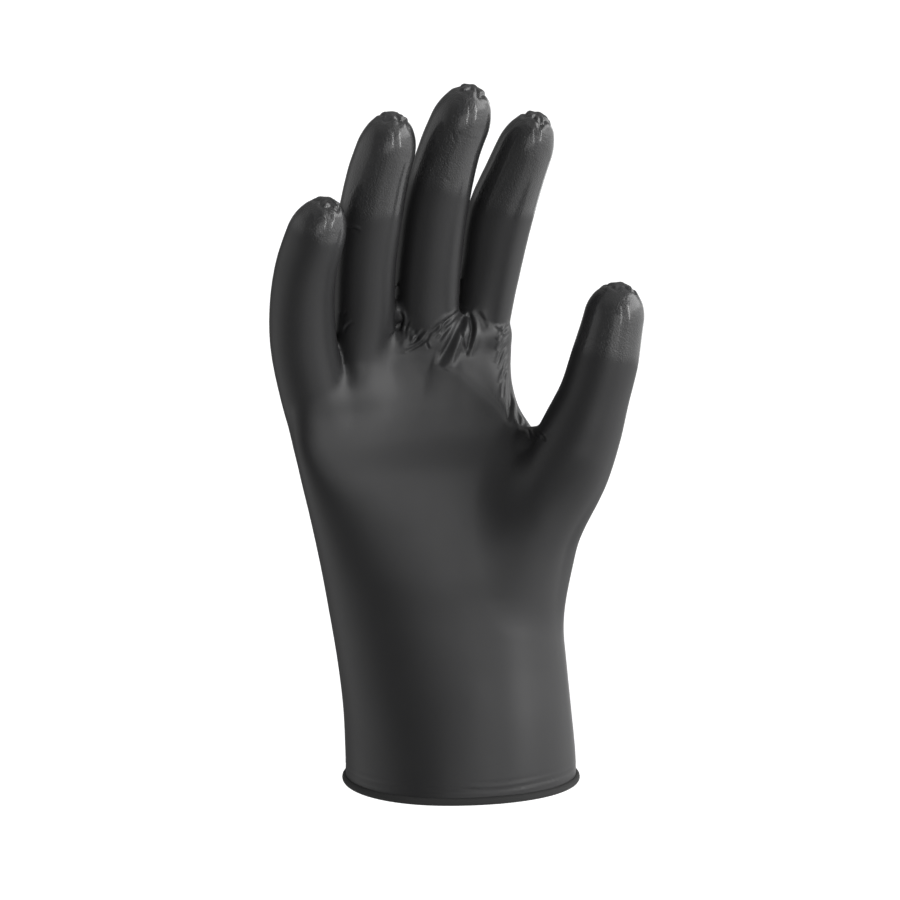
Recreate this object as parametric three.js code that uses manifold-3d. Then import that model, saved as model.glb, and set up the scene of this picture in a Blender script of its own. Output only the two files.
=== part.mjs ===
// Nitrile exam glove that keeps the form of the hand it was shown on: one dipped film with a rolled cuff rim.
// Millimetres. X runs across the palm towards the thumb, Y from the palm to the back of the hand, and Z from
// the cuff to the fingertips. The origin is the middle of the cuff opening, level with its lowest edge.

import * as THREE from 'three';
import { mergeVertices } from 'three/addons/utils/BufferGeometryUtils.js';
import Module from 'manifold-3d';

// Film and rim
const film = 1.0;
const rimDiameter = 2.6;

// Sleeve and palm, over the film
const cuffWidth = 80.2;
const cuffDepth = 64;
const wristWidth = 80.4;
const wristDepth = 46;
const palmWidth = 81.8;
const palmDepth = 32;
const palmLength = 160;
const palmTurn = 20;

// Digits, over the film: length from the web to the tip, width across and depth from front to back
const littleLength = 57.2;
const littleWidth = 20.4;
const littleDepth = 18.4;
const ringLength = 76.8;
const ringWidth = 20.8;
const ringDepth = 18.6;
const middleLength = 79.4;
const middleWidth = 21.2;
const middleDepth = 19;
const indexLength = 69;
const indexWidth = 20.4;
const indexDepth = 18.4;
const thumbLength = 52.2;
const thumbWidth = 20.4;
const thumbDepth = 19.4;

// Length of a fingertip's dome as a share of the digit's width
const tipDome = 0.62;

// Folds: full width, height over the film, and share of the swell that is left at both ends
const foldWidth = 2.4;
const foldHeight = 0.55;
const foldEnd = 0.25;

// Steps of the faceted surfaces
const outerDetail = { sleeveRings: 26, sleeveSides: 44, digitRings: 12, digitSides: 20, tipRings: 5 };
const innerDetail = { sleeveRings: 20, sleeveSides: 32, digitRings: 10, digitSides: 16, tipRings: 4 };
const ringsCrowd = 1.3;
const rimSides = 8;
const foldSteps = 7;
const foldSides = 5;

// Where the last ring of a fingertip stands, as the share of a step by which it falls short of the tip
const tipGap = 0.15;

// Distance between the two points that give a middle line its direction, as a share of the digit's length
const nearby = 0.002;

// Sections of the sleeve and palm, from the rim to the webs of the fingers. up is a share of palmLength,
// left and right are reaches from X = 0 as shares of width, and front and back are shares of depth, measured
// from a middle that lies shift depths behind Y = 0. turn is a share of palmTurn. cup brings both sides of the
// hand forward round its hollow, as a share of depth. crown moves the front's highest line towards the thumb
// as a share of the half width. heel and thumb are the powers of the superellipse on the little finger's side
// and on the thumb's side: 2 is an ellipse and more is squarer.
const sleeveColumns = ['up', 'width', 'left', 'right', 'depth', 'front', 'back', 'shift', 'turn', 'cup',
  'crown', 'heel', 'thumb'];
const sleeveRows = [
  [0.000, cuffWidth, 0.500, 0.500, cuffDepth, 0.500, 0.500, 0.000, 0.00, 0.00, 0.00, 2.05, 2.05],
  [0.062, cuffWidth, 0.499, 0.493, cuffDepth, 0.490, 0.490, 0.000, 0.00, 0.00, 0.00, 2.05, 2.05],
  [0.163, cuffWidth, 0.507, 0.473, cuffDepth, 0.448, 0.445, 0.000, 0.10, 0.00, 0.00, 2.10, 2.10],
  [0.269, wristWidth, 0.531, 0.450, wristDepth, 0.561, 0.548, 0.000, 0.25, 0.00, 0.00, 2.15, 2.10],
  [0.375, wristWidth, 0.565, 0.435, wristDepth, 0.513, 0.487, -0.011, 0.40, 0.00, 0.00, 2.20, 2.10],
  [0.481, wristWidth, 0.599, 0.428, wristDepth, 0.470, 0.430, -0.030, 0.60, 0.04, 0.05, 2.25, 2.10],
  [0.588, palmWidth, 0.627, 0.391, palmDepth, 0.600, 0.550, -0.050, 0.75, 0.12, 0.20, 2.30, 2.05],
  [0.688, palmWidth, 0.666, 0.350, palmDepth, 0.530, 0.500, -0.040, 0.90, 0.20, 0.45, 2.35, 2.00],
  [0.762, palmWidth, 0.692, 0.298, palmDepth, 0.480, 0.465, -0.010, 1.02, 0.24, 0.70, 2.40, 1.90],
  [0.812, palmWidth, 0.680, 0.240, palmDepth, 0.450, 0.440, 0.015, 1.10, 0.22, 0.70, 2.35, 1.85],
  [0.856, palmWidth, 0.620, 0.214, palmDepth, 0.420, 0.410, 0.030, 1.20, 0.16, 0.60, 2.30, 1.85],
  [0.894, palmWidth, 0.535, 0.206, palmDepth, 0.385, 0.380, 0.060, 1.22, 0.08, 0.45, 2.20, 1.90],
  [0.931, palmWidth, 0.416, 0.205, palmDepth, 0.345, 0.345, 0.095, 1.25, 0.03, 0.25, 2.10, 1.95],
  [0.972, palmWidth, 0.355, 0.196, palmDepth, 0.285, 0.285, 0.128, 1.30, 0.00, 0.10, 2.00, 2.00],
  [1.006, palmWidth, 0.220, 0.110, palmDepth, 0.125, 0.125, 0.162, 1.35, 0.00, 0.00, 2.00, 2.00],
];

// Stations along each digit. up, side and fore are shares of its length from its place at the web, and wide
// and deep are shares of its width and depth there. The stations below 0 lie inside the palm.
const digitColumns = ['up', 'side', 'fore', 'wide', 'deep'];
const digits = [
  {
    name: 'little', length: littleLength, width: littleWidth, depth: littleDepth, turn: 1,
    web: { across: -0.631, fore: -0.538, up: 0.919 },
    rows: [
      [-0.647, 0.190, 0.160, 0.92, 0.86],
      [-0.350, 0.083, 0.100, 1.08, 1.08],
      [-0.105, 0.026, 0.035, 1.11, 1.08],
      [0.140, -0.012, -0.049, 1.10, 1.05],
      [0.367, -0.014, -0.136, 1.06, 1.02],
      [0.577, 0.012, -0.224, 1.01, 1.00],
      [0.760, 0.062, -0.294, 0.98, 1.00],
      [0.909, 0.120, -0.343, 0.95, 0.97],
      [1.000, 0.156, -0.364, 0.92, 0.92],
    ],
  },
  {
    name: 'ring', length: ringLength, width: ringWidth, depth: ringDepth, turn: 1,
    web: { across: -0.401, fore: -0.225, up: 0.962 },
    rows: [
      [-0.550, 0.024, 0.042, 1.00, 1.00],
      [-0.288, 0.008, 0.029, 1.02, 1.02],
      [-0.052, 0.000, 0.009, 1.02, 1.02],
      [0.157, 0.003, -0.030, 1.00, 1.00],
      [0.353, 0.012, -0.089, 1.00, 1.00],
      [0.543, 0.037, -0.154, 1.00, 1.00],
      [0.726, 0.072, -0.213, 0.97, 0.98],
      [0.877, 0.113, -0.253, 0.95, 0.96],
      [1.000, 0.140, -0.272, 0.92, 0.92],
    ],
  },
  {
    name: 'middle', length: middleLength, width: middleWidth, depth: middleDepth, turn: 1,
    web: { across: -0.138, fore: 0.045, up: 1.000 },
    rows: [
      [-0.605, -0.009, 0.016, 1.00, 1.00],
      [-0.353, -0.008, 0.018, 1.00, 1.02],
      [-0.126, -0.004, 0.009, 1.00, 1.02],
      [0.101, 0.003, -0.016, 1.00, 1.00],
      [0.315, 0.018, -0.066, 1.00, 1.00],
      [0.529, 0.047, -0.121, 1.00, 1.00],
      [0.737, 0.096, -0.171, 0.97, 0.99],
      [0.894, 0.151, -0.200, 0.95, 0.97],
      [1.000, 0.184, -0.213, 0.92, 0.93],
    ],
  },
  {
    name: 'index', length: indexLength, width: indexWidth, depth: indexDepth, turn: 0.9,
    web: { across: 0.086, fore: 0.400, up: 1.006 },
    rows: [
      [-0.710, -0.072, -0.110, 0.95, 0.90],
      [-0.420, -0.052, -0.062, 1.00, 0.98],
      [-0.188, -0.029, -0.018, 1.00, 1.02],
      [0.029, 0.003, -0.004, 1.00, 1.00],
      [0.261, 0.039, -0.040, 1.02, 1.00],
      [0.507, 0.092, -0.115, 1.04, 1.00],
      [0.725, 0.160, -0.195, 1.01, 0.98],
      [0.899, 0.222, -0.252, 0.96, 0.96],
      [1.000, 0.262, -0.275, 0.92, 0.92],
    ],
  },
  {
    name: 'thumb', length: thumbLength, width: thumbWidth, depth: thumbDepth, turn: -0.3,
    web: { across: 0.463, fore: -0.450, up: 0.762 },
    rows: [
      [-1.560, -0.600, 0.320, 0.60, 0.70],
      [-1.200, -0.430, 0.200, 1.10, 1.15],
      [-0.814, -0.287, 0.110, 1.36, 1.50],
      [-0.484, -0.155, 0.058, 1.47, 1.52],
      [-0.194, -0.044, 0.023, 1.45, 1.38],
      [0.078, 0.052, -0.008, 1.32, 1.22],
      [0.291, 0.122, -0.031, 1.14, 1.10],
      [0.523, 0.186, -0.047, 1.05, 1.03],
      [0.756, 0.236, -0.054, 0.98, 0.97],
      [1.000, 0.284, -0.054, 0.92, 0.92],
    ],
  },
];

// Folds of slack film on the palm's side, seen from the front. x is a share of palmWidth from X = 0 and up is
// a share of palmLength, at both ends. bow is how far the middle leaves the straight line, as a share of its
// length. wide and high are shares of foldWidth and foldHeight.
const foldColumns = ['x0', 'up0', 'x1', 'up1', 'bow', 'wide', 'high'];
const foldRows = [
  // Chain of wrinkles across the middle finger's root
  [-0.232, 0.925, -0.150, 0.958, 0.06, 1.0, 1.0],
  [-0.128, 0.950, -0.012, 1.004, -0.05, 1.0, 1.0],
  // Web between the ring and middle fingers
  [-0.252, 0.996, -0.238, 0.930, -0.08, 0.9, 1.0],
  // Fan of folds below the web between the middle and index fingers
  [-0.004, 1.000, -0.088, 0.905, 0.05, 1.1, 1.1],
  [0.018, 1.000, 0.022, 0.922, -0.05, 0.9, 1.0],
  [0.032, 0.996, 0.040, 0.925, 0.14, 0.8, 0.9],
  // Root of the index finger
  [0.072, 0.994, 0.186, 0.990, -0.03, 0.9, 0.9],
  [0.180, 0.979, 0.148, 0.950, 0.06, 0.8, 0.9],
  [0.178, 0.944, 0.144, 0.906, 0.06, 0.8, 0.9],
  // Edge of the web between the index finger and the thumb
  [0.182, 0.880, 0.176, 0.812, 0.04, 0.8, 1.0],
  [0.196, 0.836, 0.222, 0.784, -0.03, 0.8, 1.0],
  [0.232, 0.806, 0.268, 0.772, -0.03, 0.8, 1.0],
];

const { Manifold, Mesh } = await loadSolids();

async function loadSolids() {
  const library = await Module();
  library.setup();
  return library;
}

// Turns rows of numbers into objects with the columns' names.
function named(columns, rows) {
  return rows.map((row) => Object.fromEntries(columns.map((column, i) => [column, row[i]])));
}

// Smooth curve through rows of numbers, whose first number is the station: a cubic between each pair, with
// the slope at a row taken from its two neighbours.
function curveThrough(rows) {
  const last = rows.length - 1;
  const slopes = rows.map((row, i) => {
    const before = rows[Math.max(i - 1, 0)];
    const after = rows[Math.min(i + 1, last)];
    return row.map((value, k) => (after[k] - before[k]) / (after[0] - before[0]));
  });
  return (station) => {
    const found = rows.findIndex((row) => row[0] > station);
    const i = Math.min(Math.max(found < 0 ? last : found, 1), last) - 1;
    const span = rows[i + 1][0] - rows[i][0];
    const q = (station - rows[i][0]) / span;
    const rise = q * q * (3 - 2 * q);
    const leave = q * (1 - q) * (1 - q) * span;
    const arrive = -q * q * (1 - q) * span;
    return rows[i].map((value, k) =>
      value + rise * (rows[i + 1][k] - value) + leave * slopes[i][k] + arrive * slopes[i + 1][k]);
  };
}

// Closed skin over rings of points, each ring running anticlockwise about the way the rings follow each
// other, with a fan to the middle of the first and the last ring.
function skin(rings) {
  const sides = rings[0].length;
  const middles = [rings[0], rings[rings.length - 1]].map((ring) =>
    ring.reduce((sum, point) => sum.add(point), new THREE.Vector3()).divideScalar(sides));
  const points = [...rings.flat(), ...middles];
  const faces = [];
  const lastRing = (rings.length - 1) * sides;
  const start = rings.length * sides;
  for (let j = 0; j < sides; j += 1) {
    const k = (j + 1) % sides;
    for (let i = 0; i < rings.length - 1; i += 1) {
      const low = i * sides;
      const high = low + sides;
      faces.push(low + j, low + k, high + k, low + j, high + k, high + j);
    }
    faces.push(start, k, j);
    faces.push(start + 1, lastRing + j, lastRing + k);
  }
  const geometry = new THREE.BufferGeometry().setFromPoints(points);
  geometry.setIndex(faces);
  return geometry;
}

// Closed skin round a ring-shaped path, from one small section per step.
function hoop(sections) {
  const sides = sections[0].length;
  const faces = [];
  sections.forEach((section, i) => {
    const low = i * sides;
    const high = ((i + 1) % sections.length) * sides;
    for (let j = 0; j < sides; j += 1) {
      const k = (j + 1) % sides;
      faces.push(low + j, low + k, high + k, low + j, high + k, high + j);
    }
  });
  const geometry = new THREE.BufferGeometry().setFromPoints(sections.flat());
  geometry.setIndex(faces);
  return geometry;
}

function solidOf(geometry) {
  const merged = mergeVertices(geometry);
  const vertProperties = new Float32Array(merged.attributes.position.array);
  const triVerts = new Uint32Array(merged.index.array);
  return new Manifold(new Mesh({ numProp: 3, vertProperties, triVerts }));
}

function geometryOf(solid) {
  const { vertProperties, triVerts } = solid.getMesh();
  const geometry = new THREE.BufferGeometry();
  geometry.setAttribute('position', new THREE.BufferAttribute(vertProperties, 3));
  geometry.setIndex(new THREE.BufferAttribute(triVerts, 1));
  return geometry;
}

function power(value, exponent) {
  return Math.sign(value) * Math.abs(value) ** exponent;
}

const sleeveAt = curveThrough(named(sleeveColumns, sleeveRows).map((row) => [
  row.up * palmLength,
  -row.left * row.width,
  row.right * row.width,
  row.front * row.depth,
  row.back * row.depth,
  row.shift * row.depth,
  row.turn * THREE.MathUtils.degToRad(palmTurn),
  row.cup * row.depth,
  row.crown,
  row.heel,
  row.thumb,
]));
const sleeveTop = sleeveRows[sleeveRows.length - 1][0] * palmLength;

// One section of the sleeve, drawn inset inside the film's outer face: a superellipse, bent forward by cup at
// its sides, turned, and stretched in X to reach from left to right.
function sleeveSection(height, inset, sides) {
  const [, left, right, front, back, shift, turn, cup, crown, heel, thumb] = sleeveAt(height);
  const half = (right - left) / 2;
  const turned = Array.from({ length: sides }, (unused, i) => {
    const angle = (i / sides) * 2 * Math.PI;
    const exponent = 2 / (Math.cos(angle) < 0 ? heel : thumb);
    const lean = Math.sin(angle) < 0 ? crown : 0;
    const share = power(Math.cos(angle), exponent);
    const across = (lean + share * (share < 0 ? 1 + lean : 1 - lean)) * half;
    const depth = Math.sin(angle) < 0 ? front : back;
    const through = power(Math.sin(angle), exponent) * (depth - inset) - cup * (across / half) ** 2;
    const x = across * Math.cos(turn) - through * Math.sin(turn);
    const y = across * Math.sin(turn) + through * Math.cos(turn);
    return new THREE.Vector2(x, y);
  });
  const xs = turned.map((point) => point.x);
  const low = Math.min(...xs);
  const stretch = (right - left - 2 * inset) / (Math.max(...xs) - low);
  return turned.map((point) => new THREE.Vector2(left + inset + (point.x - low) * stretch, point.y + shift));
}

// Sleeve and palm from a height at or below the rim up to the webs.
function sleeve(bottom, inset, { sleeveRings, sleeveSides }) {
  const top = sleeveTop - inset;
  const rings = Array.from({ length: sleeveRings }, (unused, i) => {
    const share = 1 - (1 - i / (sleeveRings - 1)) ** ringsCrowd;
    const height = rimDiameter / 2 + (top - rimDiameter / 2) * share;
    const section = sleeveSection(height, inset, sleeveSides);
    return section.map((point) => new THREE.Vector3(point.x, point.y, height));
  });
  const mouth = rings[0].map((point) => new THREE.Vector3(point.x, point.y, bottom));
  return skin(bottom < rimDiameter / 2 ? [mouth, ...rings] : rings);
}

// One digit: elliptic sections square to its bent middle line, closed by a dome at the tip.
function digit({ length, width, depth, turn, web, rows }, inset, { digitRings, digitSides, tipRings }) {
  const at = curveThrough(named(digitColumns, rows).map((row) => [
    row.up,
    row.side * length,
    row.fore * length,
    (row.wide * width) / 2,
    (row.deep * depth) / 2,
  ]));
  const place = new THREE.Vector3(web.across * palmWidth, web.fore * palmDepth, web.up * palmLength);
  const middleLine = (station) => {
    const [up, side, fore] = at(station);
    return new THREE.Vector3(side, fore, up * length).add(place);
  };
  const first = rows[0][0] + inset / length;
  const dome = (tipDome * width) / length;
  const domeStart = 1 - dome;
  const stations = [];
  for (let i = 0; i < digitRings; i += 1) {
    stations.push({ station: first + (domeStart - first) * (i / (digitRings - 1)), shrink: 1 });
  }
  for (let i = 1; i <= tipRings; i += 1) {
    const angle = ((i - tipGap) / tipRings) * (Math.PI / 2);
    const station = domeStart + (dome - inset / length) * Math.sin(angle);
    stations.push({ station, shrink: Math.cos(angle) });
  }
  const angle = turn * THREE.MathUtils.degToRad(palmTurn);
  const toBack = new THREE.Vector3(-Math.sin(angle), Math.cos(angle), 0);
  return skin(stations.map(({ station, shrink }) => {
    const [, , , halfWidth, halfDepth] = at(station);
    const along = middleLine(station + nearby / 2).sub(middleLine(station - nearby / 2)).normalize();
    const across = new THREE.Vector3().crossVectors(toBack, along).normalize();
    const through = new THREE.Vector3().crossVectors(along, across);
    return Array.from({ length: digitSides }, (unused, j) => {
      const round = (j / digitSides) * 2 * Math.PI;
      return middleLine(station)
        .addScaledVector(across, (halfWidth - inset) * shrink * Math.cos(round))
        .addScaledVector(through, (halfDepth - inset) * shrink * Math.sin(round));
    });
  }));
}

// Sleeve, palm and digits joined into one closed form.
function hand(bottom, inset, detail) {
  return digits.reduce(
    (form, data) => form.add(solidOf(digit(data, inset, detail))),
    solidOf(sleeve(bottom, inset, detail)),
  );
}

// Rolled rim: a round cord along the film's outer edge.
function rim() {
  const radius = rimDiameter / 2;
  const path = sleeveSection(radius, 0, outerDetail.sleeveSides);
  const count = path.length;
  return hoop(path.map((point, i) => {
    const before = path[(i + count - 1) % count];
    const after = path[(i + 1) % count];
    const along = after.clone().sub(before).normalize();
    const out = new THREE.Vector2(along.y, -along.x);
    return Array.from({ length: rimSides }, (unused, j) => {
      const angle = (j / rimSides) * 2 * Math.PI;
      const reach = radius * Math.cos(angle);
      const height = radius - radius * Math.sin(angle);
      return new THREE.Vector3(point.x + out.x * reach, point.y + out.y * reach, height);
    });
  }));
}

// Ridge of film along a fold: seen from the front it is a bowed line, and in depth it follows the surface. It
// is rooted in the film by one thickness, which the inner form trims flush with the film's inner face.
function fold({ x0, up0, x1, up1, bow, wide, high }, surface) {
  const start = new THREE.Vector3(x0 * palmWidth, 0, up0 * palmLength);
  const end = new THREE.Vector3(x1 * palmWidth, 0, up1 * palmLength);
  const line = end.clone().sub(start);
  const sideways = new THREE.Vector3(-line.z, 0, line.x);
  const toBack = new THREE.Vector3(0, 1, 0);
  const far = -2 * cuffDepth;
  const ray = new THREE.Raycaster();
  const hits = [];
  for (let i = 0; i <= foldSteps; i += 1) {
    const share = i / foldSteps;
    const point = start.clone().addScaledVector(line, share);
    point.addScaledVector(sideways, bow * Math.sin(Math.PI * share)).setY(far);
    ray.set(point, toBack);
    const [hit] = ray.intersectObject(surface);
    if (hit) {
      hits.push({ point: hit.point, normal: hit.face.normal.clone() });
    }
  }
  const rings = hits.map((hit, i) => {
    const before = hits[Math.max(i - 1, 0)].point;
    const after = hits[Math.min(i + 1, hits.length - 1)].point;
    const along = after.clone().sub(before).normalize();
    const around = hits.slice(Math.max(i - 1, 0), i + 2);
    const lift = around.reduce((sum, { normal }) => sum.add(normal), new THREE.Vector3());
    const across = new THREE.Vector3().crossVectors(lift, along).normalize();
    const out = new THREE.Vector3().crossVectors(along, across);
    const swell = foldEnd + (1 - foldEnd) * Math.sin((Math.PI * i) / (hits.length - 1));
    return Array.from({ length: foldSides }, (unused, j) => {
      const angle = Math.PI / 2 + (j / foldSides) * 2 * Math.PI;
      const rise = Math.sin(angle) > 0 ? foldHeight * high * swell : film;
      return hit.point.clone()
        .addScaledVector(across, (foldWidth / 2) * wide * swell * Math.cos(angle))
        .addScaledVector(out, rise * Math.sin(angle));
    });
  });
  return skin(rings);
}

function gloveFilm() {
  const outer = hand(rimDiameter / 2, 0, outerDetail);
  const inner = hand(-rimDiameter, film, innerDetail);
  const surface = new THREE.Mesh(geometryOf(outer));
  const folded = named(foldColumns, foldRows).reduce(
    (form, row) => form.add(solidOf(fold(row, surface))),
    outer.add(solidOf(rim())),
  );
  return geometryOf(folded.subtract(inner));
}

const nitrile = new THREE.MeshStandardMaterial({ color: 0x2a2a2b, roughness: 0.42, metalness: 0 });
const glove = new THREE.Mesh(gloveFilm(), nitrile);
glove.name = 'glove_film';

const group = new THREE.Group();
group.name = 'nitrile_exam_glove';
group.add(glove);

export default group;
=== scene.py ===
"""Nitrile exam glove in the form it keeps on a hand: its film, its rolled rim and a pale studio round it.

The glove's own measures are millimetres here and become metres when a mesh is made. X runs across the palm
towards the thumb, Y from the palm to the back of the hand and Z from the rim to the fingertips.
"""

import math

import bpy
import numpy as np
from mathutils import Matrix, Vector


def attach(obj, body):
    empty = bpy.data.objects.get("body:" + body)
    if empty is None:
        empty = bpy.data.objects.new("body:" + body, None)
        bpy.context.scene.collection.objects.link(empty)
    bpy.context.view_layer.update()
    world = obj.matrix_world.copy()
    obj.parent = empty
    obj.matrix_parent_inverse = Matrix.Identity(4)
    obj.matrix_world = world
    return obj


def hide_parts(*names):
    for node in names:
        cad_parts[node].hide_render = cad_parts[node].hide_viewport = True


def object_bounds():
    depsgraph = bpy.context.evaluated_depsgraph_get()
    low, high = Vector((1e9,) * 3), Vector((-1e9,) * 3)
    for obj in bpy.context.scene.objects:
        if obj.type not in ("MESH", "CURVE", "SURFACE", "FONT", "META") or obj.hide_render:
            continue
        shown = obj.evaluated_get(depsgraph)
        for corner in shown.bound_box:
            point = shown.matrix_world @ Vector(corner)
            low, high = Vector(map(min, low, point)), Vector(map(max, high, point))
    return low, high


bl_info = {
    "name": "Nitrile Exam Glove",
    "version": (1, 0, 0),
    "blender": (4, 5, 0),
    "location": "3D View > Sidebar > Glove",
    "description": "Builds a worn nitrile exam glove and a pale studio",
    "category": "Object",
}

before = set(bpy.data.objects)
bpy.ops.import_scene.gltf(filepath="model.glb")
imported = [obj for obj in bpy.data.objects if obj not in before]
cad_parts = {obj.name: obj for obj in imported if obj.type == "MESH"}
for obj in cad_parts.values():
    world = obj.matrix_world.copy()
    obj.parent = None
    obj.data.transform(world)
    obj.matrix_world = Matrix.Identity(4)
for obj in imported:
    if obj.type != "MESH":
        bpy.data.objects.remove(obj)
cad_low, cad_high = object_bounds()

MM = 0.001
FILM_NODE = "glove_film"

# Sizes of the hand's regions as shares of the glove's own width (X), depth (Y) and height (Z)
SHARES = {
    "cuff_width": 0.6491,
    "cuff_depth": 0.8285,
    "wrist_width": 0.6507,
    "wrist_depth": 0.5955,
    "palm_width": 0.6620,
    "palm_depth": 0.4143,
    "palm_height": 0.6678,
}
PALM_TURN = math.radians(20.0)

# Sections of the sleeve and palm, from the rim to the webs of the fingers. up is a share of palm_height, left
# and right are reaches from X = 0 as shares of the region's width. front, back, shift and cup are shares of
# its depth, turn is a share of PALM_TURN, crown moves the section's front sideways, and heel and thumb are
# the powers of its two sides' superellipse.
SLEEVE_COLUMNS = (
    "up", "region", "left", "right", "front", "back", "shift", "turn", "cup", "crown", "heel", "thumb",
)
SLEEVE_ROWS = (
    (0.000, "cuff", 0.497, 0.497, 0.515, 0.500, 0.000, 0.00, 0.00, -0.12, 2.05, 2.05),
    (0.062, "cuff", 0.499, 0.493, 0.490, 0.490, 0.000, 0.00, 0.00, -0.08, 2.05, 2.05),
    (0.163, "cuff", 0.507, 0.473, 0.448, 0.445, 0.000, 0.10, 0.00, -0.04, 2.10, 2.10),
    (0.269, "wrist", 0.529, 0.450, 0.561, 0.548, 0.000, 0.25, 0.00, 0.00, 2.15, 2.10),
    (0.375, "wrist", 0.561, 0.430, 0.520, 0.487, -0.011, 0.40, 0.00, 0.00, 2.20, 2.10),
    (0.481, "wrist", 0.594, 0.427, 0.490, 0.430, -0.030, 0.60, 0.02, 0.05, 2.25, 2.10),
    (0.588, "palm", 0.623, 0.391, 0.640, 0.550, -0.050, 0.75, 0.08, 0.18, 2.30, 2.05),
    (0.688, "palm", 0.662, 0.350, 0.570, 0.500, -0.040, 0.90, 0.20, 0.45, 2.35, 2.00),
    (0.762, "palm", 0.688, 0.298, 0.480, 0.465, -0.010, 1.02, 0.24, 0.70, 2.40, 1.90),
    (0.812, "palm", 0.677, 0.240, 0.450, 0.440, 0.015, 1.10, 0.22, 0.70, 2.35, 1.85),
    (0.856, "palm", 0.620, 0.214, 0.420, 0.410, 0.030, 1.20, 0.16, 0.60, 2.30, 1.85),
    (0.894, "palm", 0.535, 0.206, 0.385, 0.380, 0.060, 1.22, 0.08, 0.45, 2.20, 1.90),
    (0.931, "palm", 0.470, 0.205, 0.345, 0.345, 0.095, 1.25, 0.03, 0.25, 2.10, 1.95),
    (0.972, "palm", 0.355, 0.196, 0.285, 0.285, 0.128, 1.30, 0.00, 0.10, 2.00, 2.00),
    (1.006, "palm", 0.220, 0.110, 0.125, 0.125, 0.162, 1.35, 0.00, 0.00, 2.00, 2.00),
)

# Digits: size is length, width and depth as shares of the glove's height, width and depth, turn is a share
# of the palm's, web is the place at the web as shares of the palm's sizes, dome is the tip's dome as a share
# of the width, and the grainy finish starts at the station grain. A row has its station along the digit, how
# far the middle line lies to the side and to the back there as shares of the length, and its width and depth
# as shares of the digit's.
DIGITS = {
    "little": {
        "size": (0.2387, 0.1651, 0.2382), "turn": 1.0, "web": (-0.631, -0.538, 0.919), "dome": 0.62,
        "grain": 0.82,
        "rows": (
            (-0.647, 0.190, 0.160, 0.92, 0.86),
            (-0.350, 0.083, 0.100, 1.08, 1.08),
            (-0.105, 0.026, 0.035, 1.11, 1.08),
            (0.140, -0.012, -0.049, 1.10, 1.05),
            (0.367, -0.014, -0.136, 1.06, 1.02),
            (0.577, 0.013, -0.224, 1.01, 1.00),
            (0.760, 0.067, -0.294, 0.96, 1.00),
            (0.909, 0.125, -0.343, 0.92, 0.97),
            (1.000, 0.156, -0.364, 0.92, 0.92),
        ),
    },
    "ring": {
        "size": (0.3226, 0.1683, 0.2408), "turn": 1.0, "web": (-0.401, -0.225, 0.962), "dome": 0.62,
        "grain": 0.60,
        "rows": (
            (-0.550, 0.024, 0.042, 1.00, 1.00),
            (-0.288, 0.008, 0.029, 1.02, 1.02),
            (-0.052, 0.000, 0.009, 1.02, 1.02),
            (0.157, 0.003, -0.030, 1.00, 1.00),
            (0.353, 0.011, -0.089, 1.01, 1.00),
            (0.543, 0.034, -0.154, 1.03, 1.00),
            (0.726, 0.070, -0.213, 0.99, 0.98),
            (0.877, 0.115, -0.253, 0.93, 0.96),
            (1.000, 0.140, -0.272, 0.92, 0.92),
        ),
    },
    "middle": {
        "size": (0.3314, 0.1716, 0.2460), "turn": 1.0, "web": (-0.138, 0.045, 1.000), "dome": 0.62,
        "grain": 0.60,
        "rows": (
            (-0.605, -0.009, 0.016, 1.00, 1.00),
            (-0.353, -0.008, 0.018, 1.00, 1.02),
            (-0.126, -0.008, 0.009, 1.03, 1.02),
            (0.101, -0.004, -0.016, 1.05, 1.00),
            (0.315, 0.011, -0.066, 1.05, 1.00),
            (0.529, 0.040, -0.121, 1.05, 1.00),
            (0.737, 0.094, -0.171, 0.97, 0.99),
            (0.894, 0.156, -0.200, 0.93, 0.97),
            (1.000, 0.192, -0.213, 0.92, 0.93),
        ),
    },
    "index": {
        "size": (0.2880, 0.1651, 0.2382), "turn": 0.9, "web": (0.086, 0.400, 1.006), "dome": 0.62,
        "grain": 0.56,
        "rows": (
            (-0.710, -0.072, -0.110, 0.95, 0.90),
            (-0.420, -0.052, -0.062, 1.00, 0.98),
            (-0.188, -0.029, -0.018, 1.00, 1.02),
            (0.029, 0.004, -0.004, 1.01, 1.00),
            (0.261, 0.043, -0.040, 1.07, 1.00),
            (0.507, 0.091, -0.115, 1.12, 1.00),
            (0.725, 0.166, -0.195, 0.99, 0.98),
            (0.899, 0.233, -0.252, 0.91, 0.96),
            (1.000, 0.268, -0.275, 0.92, 0.92),
        ),
    },
    "thumb": {
        "size": (0.2196, 0.1651, 0.2511), "turn": -0.3, "web": (0.463, -0.450, 0.762), "dome": 0.54,
        "grain": 0.56,
        "rows": (
            (-1.560, -0.600, 0.460, 0.60, 0.70),
            (-1.200, -0.420, 0.370, 1.10, 1.15),
            (-0.814, -0.287, 0.235, 1.36, 1.50),
            (-0.484, -0.182, 0.125, 1.46, 1.52),
            (-0.194, -0.052, 0.034, 1.45, 1.38),
            (0.078, 0.054, -0.008, 1.31, 1.22),
            (0.291, 0.125, -0.031, 1.16, 1.10),
            (0.523, 0.187, -0.047, 1.11, 1.03),
            (0.756, 0.236, -0.054, 1.00, 0.97),
            (1.000, 0.284, -0.054, 0.94, 0.92),
        ),
    },
}

# Dome of a digit's hidden root, as a share of its width
ROOT_DOME = 0.5
FINGERS = ("little", "ring", "middle", "index")

# Width of the fillets where fingers and thumb meet the palm (mm)
FINGER_FLOW = 4.0
CROTCH_FLOW = 1.4
THUMB_FLOW = 12.0

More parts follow.
